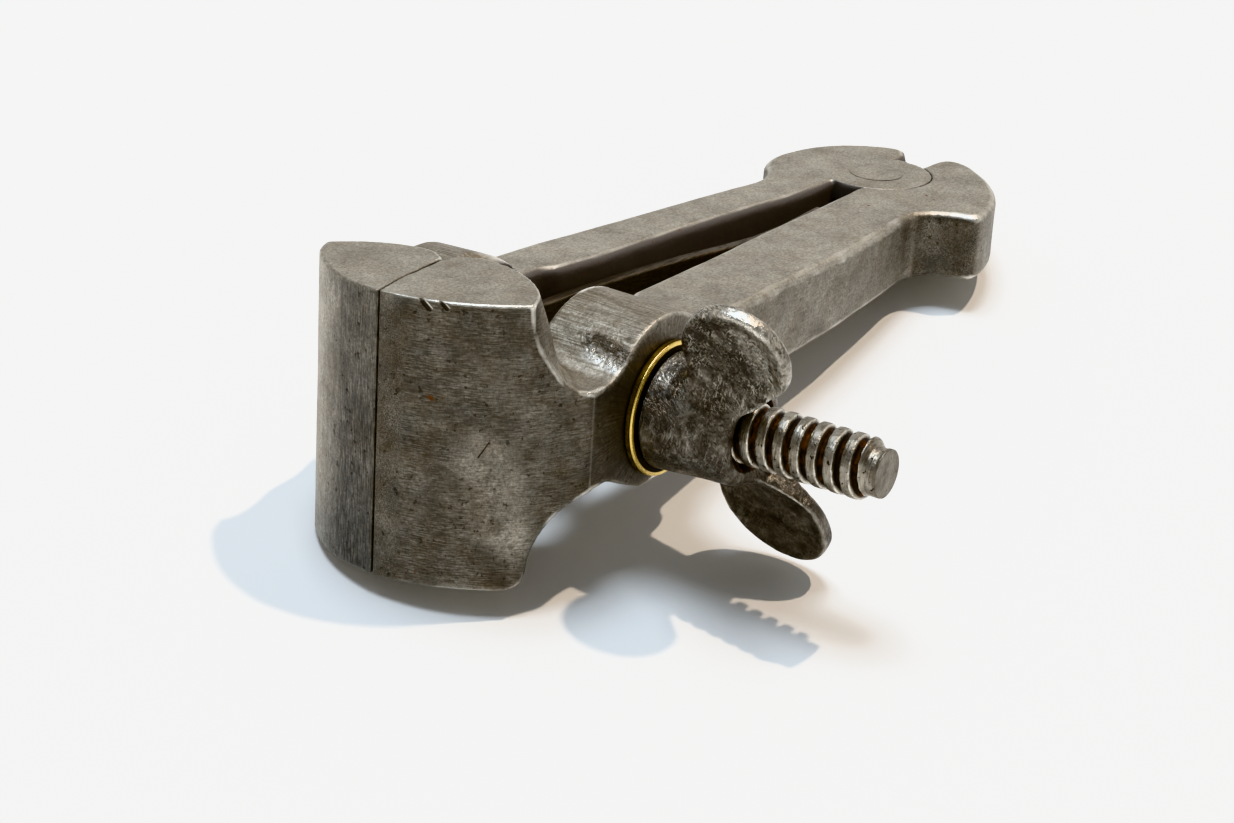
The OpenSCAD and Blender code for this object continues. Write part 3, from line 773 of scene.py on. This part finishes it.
def coats(tree, value, look, base, rough, sheet):
    # lays finishes over a base: how much, which colour, how rough
    surface = (hexColor(look[base]), rough)
    for row in sheet.split(","):
        amount, color, rough = row.split()
        color = hexColor(look[color]) if color in look else value[color]
        rough = value[rough] if rough in value else float(rough)
        surface = (
            addNode(tree, "ShaderNodeMix", {0: value[amount], 6: surface[0], 7: color},
                    data_type="RGBA").outputs[2],
            addNode(tree, "ShaderNodeMix", {0: value[amount], 2: surface[1], 3: rough}).outputs[0])
    return surface


def finishMaterial(material, value, surface, metallic, relief):
    # the reliefs lie on one another: which value, and its depth in mm
    tree = material.node_tree
    under = {}
    for row in relief.split(","):
        name, depth = row.split()
        links = {"Height": value[name], "Strength": 1.0, "Distance": float(depth) * mm, **under}
        under = {"Normal": addNode(tree, "ShaderNodeBump", links).outputs[0]}
    setInputs(tree, tree.nodes["Principled BSDF"],
              {"Base Color": surface[0], "Roughness": surface[1], "Metallic": metallic, **under})
    return material


ironLook = {
    "filed": "c9c2b4", "cloud": "a0988b", "scratch": "dcd6c9", "patina": "6c675e", "patinaCloud": "4a453d",
    "brown": "65553f", "blue": "4a4d50", "pit": "1a1611", "worn": "f5f1e7", "grime": "261f18", "inside": "66605a",
    "rust": "74421a", "bronzed": "a28f71",
    "nicks": [((0.83, -4.2, 30.2), (1.15, -5.25, 29.0), 0.26), ((1.42, -5.9, 30.4), (1.78, -6.85, 29.25), 0.22),
              ((4.09, -10.74, 15.95), (3.51, -9.93, 14.33), 0.09)],
    # painted highlights: bright lips beside the first two nicks
    "lipHighlights": [((0.9, -4.55, 30.2), (1.2, -5.55, 29.15), 0.13), ((1.5, -6.2, 30.4), (1.85, -7.1, 29.4), 0.12)],
    "scars": {"fold": ((12.74, -16.93, 20.2), (12.8, -16.93, 10.0), 0.2),
              "rustSpot": ((1.2, -5.5, 20.2), (1.36, -5.75, 19.95), 0.3),
              "thumbed": ((3.9, -10.6, 14.5), (5.2, -12.2, 6.5), 3.5),
              "beaten": ((19.0, -12.4, 22.8), (18.4, -16.0, 22.2), 1.6),
              # a painted highlight: bright glints on burnished metal, along a streak below the beaten place
              "burnished": ((17.9, -12.7, 21.8), (17.4, -16.0, 21.2), 1.1)},
    "blueShift": (40, 0, 0),
}


def forgedIron():
    # grey and lined where the file and hands keep it bright, brown-black where oil and oxide stay
    look = ironLook
    material, tree, place, value = newMaterial(
        "forgedFiledIron", "wear inner patina levelMarks uprightMarks bossMarks endMarks")
    addSheet(tree, value,
        "cloud = lumps 4.5 0.36 0.66 6 0.65, patches = lumps 3.4 0.38 0.64 3,"
        "speckle = lumps 0.5 0.35 0.68 5 0.75, grain = lumps 0.3 0.42 0.6 3 0.8,"
        "brownCloud = lumps 4 0.44 0.66 6 0.7, sparse = lumps 0.7 0.63 0.71 2,"
        "lumpy = lumps 0.6 0.38 0.62 4 0.65, crests = lumps 0.7 0.53 0.66 4 0.65, greasy = lumps 0.8 0.25 0.6,"
        "chipped = lumps 1.6 0.2 0.5, rustCloud = lumps 1.1 0.66 0.74, dots = lumps 1.7 0.79 0.82 1,"
        "hammered = lumps 2.6 0.3 0.7 2")
    shifted = addNode(tree, "ShaderNodeMapping", {"Vector": place, "Location": look["blueShift"]}).outputs[0]
    value["blueCloud"] = lumps(tree, shifted, 3.0, 0.44, 0.66, 6.0, 0.7)
    for name, line in look["scars"].items():
        value[name] = scar(tree, place, *line)
    # strokes along the leg, level and upright on the jaw, along the boss, and in a fan on its end
    addSheet(tree, value,
        "centred = subtract place screwAxis, reach = length centred, across = x - screwX, up = z - screwZ,"
        "angle = ARCTAN2 across up")
    fan = addNode(tree, "ShaderNodeCombineXYZ", {0: value["angle"], 1: value["reach"]}).outputs[0]
    value["drawn"] = strokes(tree, place, (2.6, 0.14, 0.14))
    for name, where, *levels in (("levelMarks", place, (1.2, 1.2, 0.1), 0.36, 0.68, 3.0),
                                 ("uprightMarks", place, (0.11, 0.11, 1.6), 0.42, 0.66, 2.0),
                                 ("bossMarks", place, (0.2, 4.5, 0.2), 0.42, 0.6, 3.0),
                                 ("endMarks", fan, (0.028, 6.0, 1.0), 0.34, 0.68)):
        links = {0: value[name], 2: value["drawn"], 3: strokes(tree, where, *levels)}
        value["drawn"] = addNode(tree, "ShaderNodeMix", links).outputs[0]
    addSheet(tree, value,
        "crease = LINEAR wear -0.02 -0.12, edge = LINEAR wear 0.05 0.115, deep = LINEAR inner 0.15 0.6,"
        "worked = patches * 0.55 + 0.45, lines = drawn * worked, level = levelMarks * 0.4 + 0.17,"
        "both = uprightMarks * 0.14 + level, turned = bossMarks * 0.36 + both,"
        "strong = endMarks * 0.4 + turned, bright = lines * strong, warmCloud = brownCloud * 0.28,"
        "warm = bossMarks * 0.5 + warmCloud,"
        # patina is thinner on the scratches' crests and where a thumb rests, browner and bluer in clouds
        "brownish = brownCloud * 0.22, bluish = blueCloud * 0.4, cold = uprightMarks * 0.45,"
        "bite = bossMarks * 0.45 + 0.46, bitten = lines * bite, kept = 1 - bitten,"
        "touched = thumbed * speckle, thin = touched * worked, through = thin * -1.1 + kept,"
        "thick = through * patina,"
        # pits and grain, more of them in the patina
        "pitShare = patina * 0.5 + 0.12, pits = sparse * pitShare, specks = speckle * 0.27,"
        "grains = grain * 0.42,"
        # the beaten place at the foot of the boss: bruised blue-black, its crests and a burnished streak below it
        # painted bright as glints, painted highlights on bare metal
        "dents = beaten * lumpy, bruise = beaten * 0.72, crested = beaten * crests, flecks = crested * 0.45,"
        "polished = burnished * lumpy, glints = MAXIMUM polished flecks,"
        # grime in the creases, a darker boss end, bare metal on the edges, and rust in the gap
        "grime = crease * greasy, sooty = endMarks * 0.25, bare = edge * chipped, foldBare = fold * chipped,"
        "folds = foldBare * 0.16, rusting = deep * rustCloud, rusty = MAXIMUM rusting dots,"
        "spot = rustSpot * speckle, metallic = deep * -0.6 + 1")
    value["darkColor"], value["darkRough"] = coats(tree, value, look, "patina", 0.44,
        "cloud patinaCloud 0.54, brownish brown 0.5, bluish blue 0.46, cold blue 0.42")
    value["cuts"] = 0.0
    for line in look["nicks"]:
        value["cut"] = scar(tree, place, *line)
        addSheet(tree, value, "cuts = MAXIMUM cuts cut")
    # painted shade: the nicks are too small for the mesh, so as well as the bump their insides are painted dark
    addSheet(tree, value, "cutDark = cuts * 0.8")
    # painted highlights: the lips beside the first two nicks are painted bright
    value["firstLip"], value["nextLip"] = (scar(tree, place, *line) for line in look["lipHighlights"])
    surface = coats(tree, value, look, "filed", 0.42,
        "cloud cloud 0.5, warm bronzed 0.44, bright scratch 0.34, thick darkColor darkRough, pits pit 0.7,"
        "specks pit 0.55, grains patinaCloud 0.55, bruise patinaCloud 0.32, glints worn 0.2, grime grime 0.65,"
        "sooty grime 0.5, folds scratch 0.34, bare worn 0.26, deep inside 0.6, rusty rust 0.8, spot rust 0.8,"
        "cutDark grime 0.5, firstLip worn 0.25, nextLip worn 0.25")
    return finishMaterial(material, value, surface, value["metallic"],
        "hammered 0.05, speckle 0.016, grain 0.006, bright 0.03, pits -0.03, cuts -0.2, dents 0.13")


scaleLook = {
    "scale": "69635b", "cloud": "403b35", "rubbed": "c9c2b4", "worn": "e9e4d8", "bore": "1d1712", "rust": "5c3519",
    # a painted highlight: a bright glint on burnished metal along the upper ear's rim
    "scars": {"burnished": ((16.0, -29.0, 30.6), (16.7, -32.6, 29.3), 1.3),
              "scuffed": ((17.4, -31.4, 27.6), (20.2, -33.3, 22.4), 2.9),
              "thumbed": ((20.6, -27.4, 25.6), (21.2, -27.6, 22.6), 3.2)},
    "files": {"oneWay": (0.5, 0.3, 0.9), "otherWay": (1.3, -0.5, 0.1)},
}


def forgeScale():
    # forge scale soaked in oil: nearly black in the hollows, rubbed to grey metal on what the fingers turn
    look = scaleLook
    material, tree, place, value = newMaterial("oiledForgeScale", "wear inner")
    addSheet(tree, value,
        "cloud = lumps 2.4 0.38 0.62 5 0.65, chips = lumps 0.9 0.4 0.64 5 0.65,"
        "patches = lumps 3.2 0.44 0.62 3, group = lumps 2 0.4 0.54 2, broken = lumps 0.5 0.38 0.58 4 0.75,"
        "chipped = lumps 1.2 0.3 0.6, rustCloud = lumps 0.9 0.5 0.62, hammered = lumps 1.3 0.3 0.7 2")
    for name, line in look["scars"].items():
        value[name] = scar(tree, place, *line)
    # cuts of a rough file, two ways
    for name, turn in look["files"].items():
        slanted = addNode(tree, "ShaderNodeMapping", {"Vector": place, "Rotation": turn}).outputs[0]
        value[name] = strokes(tree, slanted, (0.14, 1.3, 0.4), 0.53, 0.6, 2.0)
    addSheet(tree, value,
        "upper = LINEAR z 17 22 0.3, edge = LINEAR wear 0.05 0.13, crease = LINEAR wear -0.01 -0.08,"
        "crossed = MAXIMUM oneWay otherWay, chisel = crossed * group, rubbed = patches * chips,"
        "rubbedIn = rubbed * 0.5, raw = chisel * upper, cuts = raw * 0.8, dulled = thumbed * 0.35,"
        "scuff = scuffed * broken, scuffs = scuff * 0.95, burnish = broken * 0.6 + 0.4,"
        # the glint on the burnished rim is a painted highlight
        "burnishes = burnished * burnish, bare = edge * chipped, rusty = inner * rustCloud")
    surface = coats(tree, value, look, "scale", 0.4,
        "cloud cloud 0.5, rubbedIn rubbed 0.34, cuts rubbed 0.3, dulled cloud 0.42, scuffs rubbed 0.3,"
        "burnishes worn 0.22, bare worn 0.27, crease cloud 0.6, inner bore 0.6, rusty rust 0.8")
    return finishMaterial(material, value, surface, 0.95, "hammered 0.09, chisel 0.07, chips 0.03")


threadLook = {"crest": "958d7e", "streak": "5b5348", "glint": "e9e4d8", "valley": "241b13", "rust": "56341a"}


def cutThread():
    # steel cut on a lathe: bright crests with lines around them, oil and rust down in the grooves
    look = threadLook
    material, tree, place, value = newMaterial("cutThreadSteel", "valley")
    value["turned"] = strokes(tree, place, (1.6, 0.11, 1.6), 0.36, 0.66)
    addSheet(tree, value,
        "polish = lumps 1.5 0.4 0.62, spots = lumps 0.45 0.62 0.7 2, chipped = lumps 0.8 0.3 0.6,"
        "rustCloud = lumps 1.4 0.5 0.62 3, uneven = lumps 0.9 0.3 0.7 3, glints = polish * 0.25,"
        # the two corners of the crest are rubbed to thin bright lines
        "rise = LINEAR valley 0.005 0.05, fall = LINEAR valley 0.3 0.12, corners = rise * fall,"
        "lines = corners * chipped, down = LINEAR valley 0.25 0.6, rusty = down * rustCloud,"
        # the sawn end has darkened
        "sawn = LINEAR y -42.4 -42.7 0 0.6")
    surface = coats(tree, value, look, "crest", 0.3,
        "turned streak 0.42, glints glint 0.26, spots valley 0.6, lines glint 0.25, down valley 0.6,"
        "rusty rust 0.75, sawn streak 0.4")
    return finishMaterial(material, value, surface, 0.95, "uneven 0.05, turned 0.012, spots -0.02")


springLook = {"strip": "5b5247", "cloud": "2f2922", "rubbed": "8e8678", "rust": "613719"}


def springSteel():
    # hardened strip: brown temper colour, with lines along its length
    look = springLook
    material, tree, place, value = newMaterial("temperedSpringSteel")
    value["lines"] = strokes(tree, place, (5.0, 0.2, 0.14))
    addSheet(tree, value,
        "cloud = lumps 2.8 0.36 0.64 5, rusty = lumps 0.8 0.64 0.72 3, rubbed = lines * 0.4")
    surface = coats(tree, value, look, "strip", 0.42,
        "cloud cloud 0.55, rubbed rubbed 0.36, rusty rust 0.8")
    return finishMaterial(material, value, surface, 0.95, "cloud 0.03, lines 0.01")


brassLook = {"face": "ad8d48", "cloud": "5a4522", "bright": "f2d27f", "patina": "1d150b", "middle": -17.475}


def agedBrass():
    # turned brass: olive-brown; a painted highlight in bright gold on the corner next to the nut, where the nut
    # rubs, and painted shade, near black, on the ring beside the nut's foot
    look = brassLook
    material, tree, place, value = newMaterial("agedBrass")
    value["scratches"] = strokes(tree, place, (0.16, 2.0, 0.16))
    value.update(middle=look["middle"], level=(1, 0, 1))
    addSheet(tree, value,
        "centred = subtract place screwAxis, flat = multiply centred level, out = length flat,"
        "cloud = lumps 1.1 0.36 0.6, off = y - middle, scratched = scratches * 0.4,"
        "line = LINEAR off -0.06 -0.13, rim = LINEAR off -0.2 -0.27, under = LINEAR out 6.72 6.66")
    # painted highlight on the corner next to the nut; painted shade on the ring beside the nut's foot
    surface = coats(tree, value, look, "face", 0.3,
        "cloud cloud 0.42, scratched patina 0.5, line patina 0.5, rim bright 0.25, under patina 0.6")
    return finishMaterial(material, value, surface, 1.0, "cloud 0.02, scratches 0.01")


forged = forgedIron()
darkIron = forgeScale()
screwSteel = cutThread()
stripSteel = springSteel()
washerBrass = agedBrass()
print("materials made")

screwPiece = makeThread(screwSteel)
eyePiece = makeEye()
washerPiece = makeWasher()
springPiece = makeSpring()

for piece, material, body, slot, nodes in (
        (frontForging, forged, "front", "forged_iron", ["front_arm"]),
        (rearForging, forged, "rear", "forged_iron", ["rear_arm"]),
        (nutForging, darkIron, "nut", "dark_iron", ["wing_nut"]),
        (screwPiece, screwSteel, "screw", "screw_steel", ["clamp_screw"]),
        (eyePiece, screwSteel, "screw", "screw_steel", []),
        (washerPiece, washerBrass, "washer", "washer_brass", ["washer"])):
    piece.data.materials.clear()
    piece.data.materials.append(material)
    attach(piece, body)
    if nodes:
        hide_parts(*nodes)
springPiece.data.materials.append(stripSteel)
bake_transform(springPiece)
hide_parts("leaf_spring")
for node, material in (("hinge_rivet", forged), ("screw_pin", forged), ("spring_rivet", stripSteel)):
    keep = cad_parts[node]
    keep.data.materials.clear()
    keep.data.materials.append(material)
print("pieces dressed")
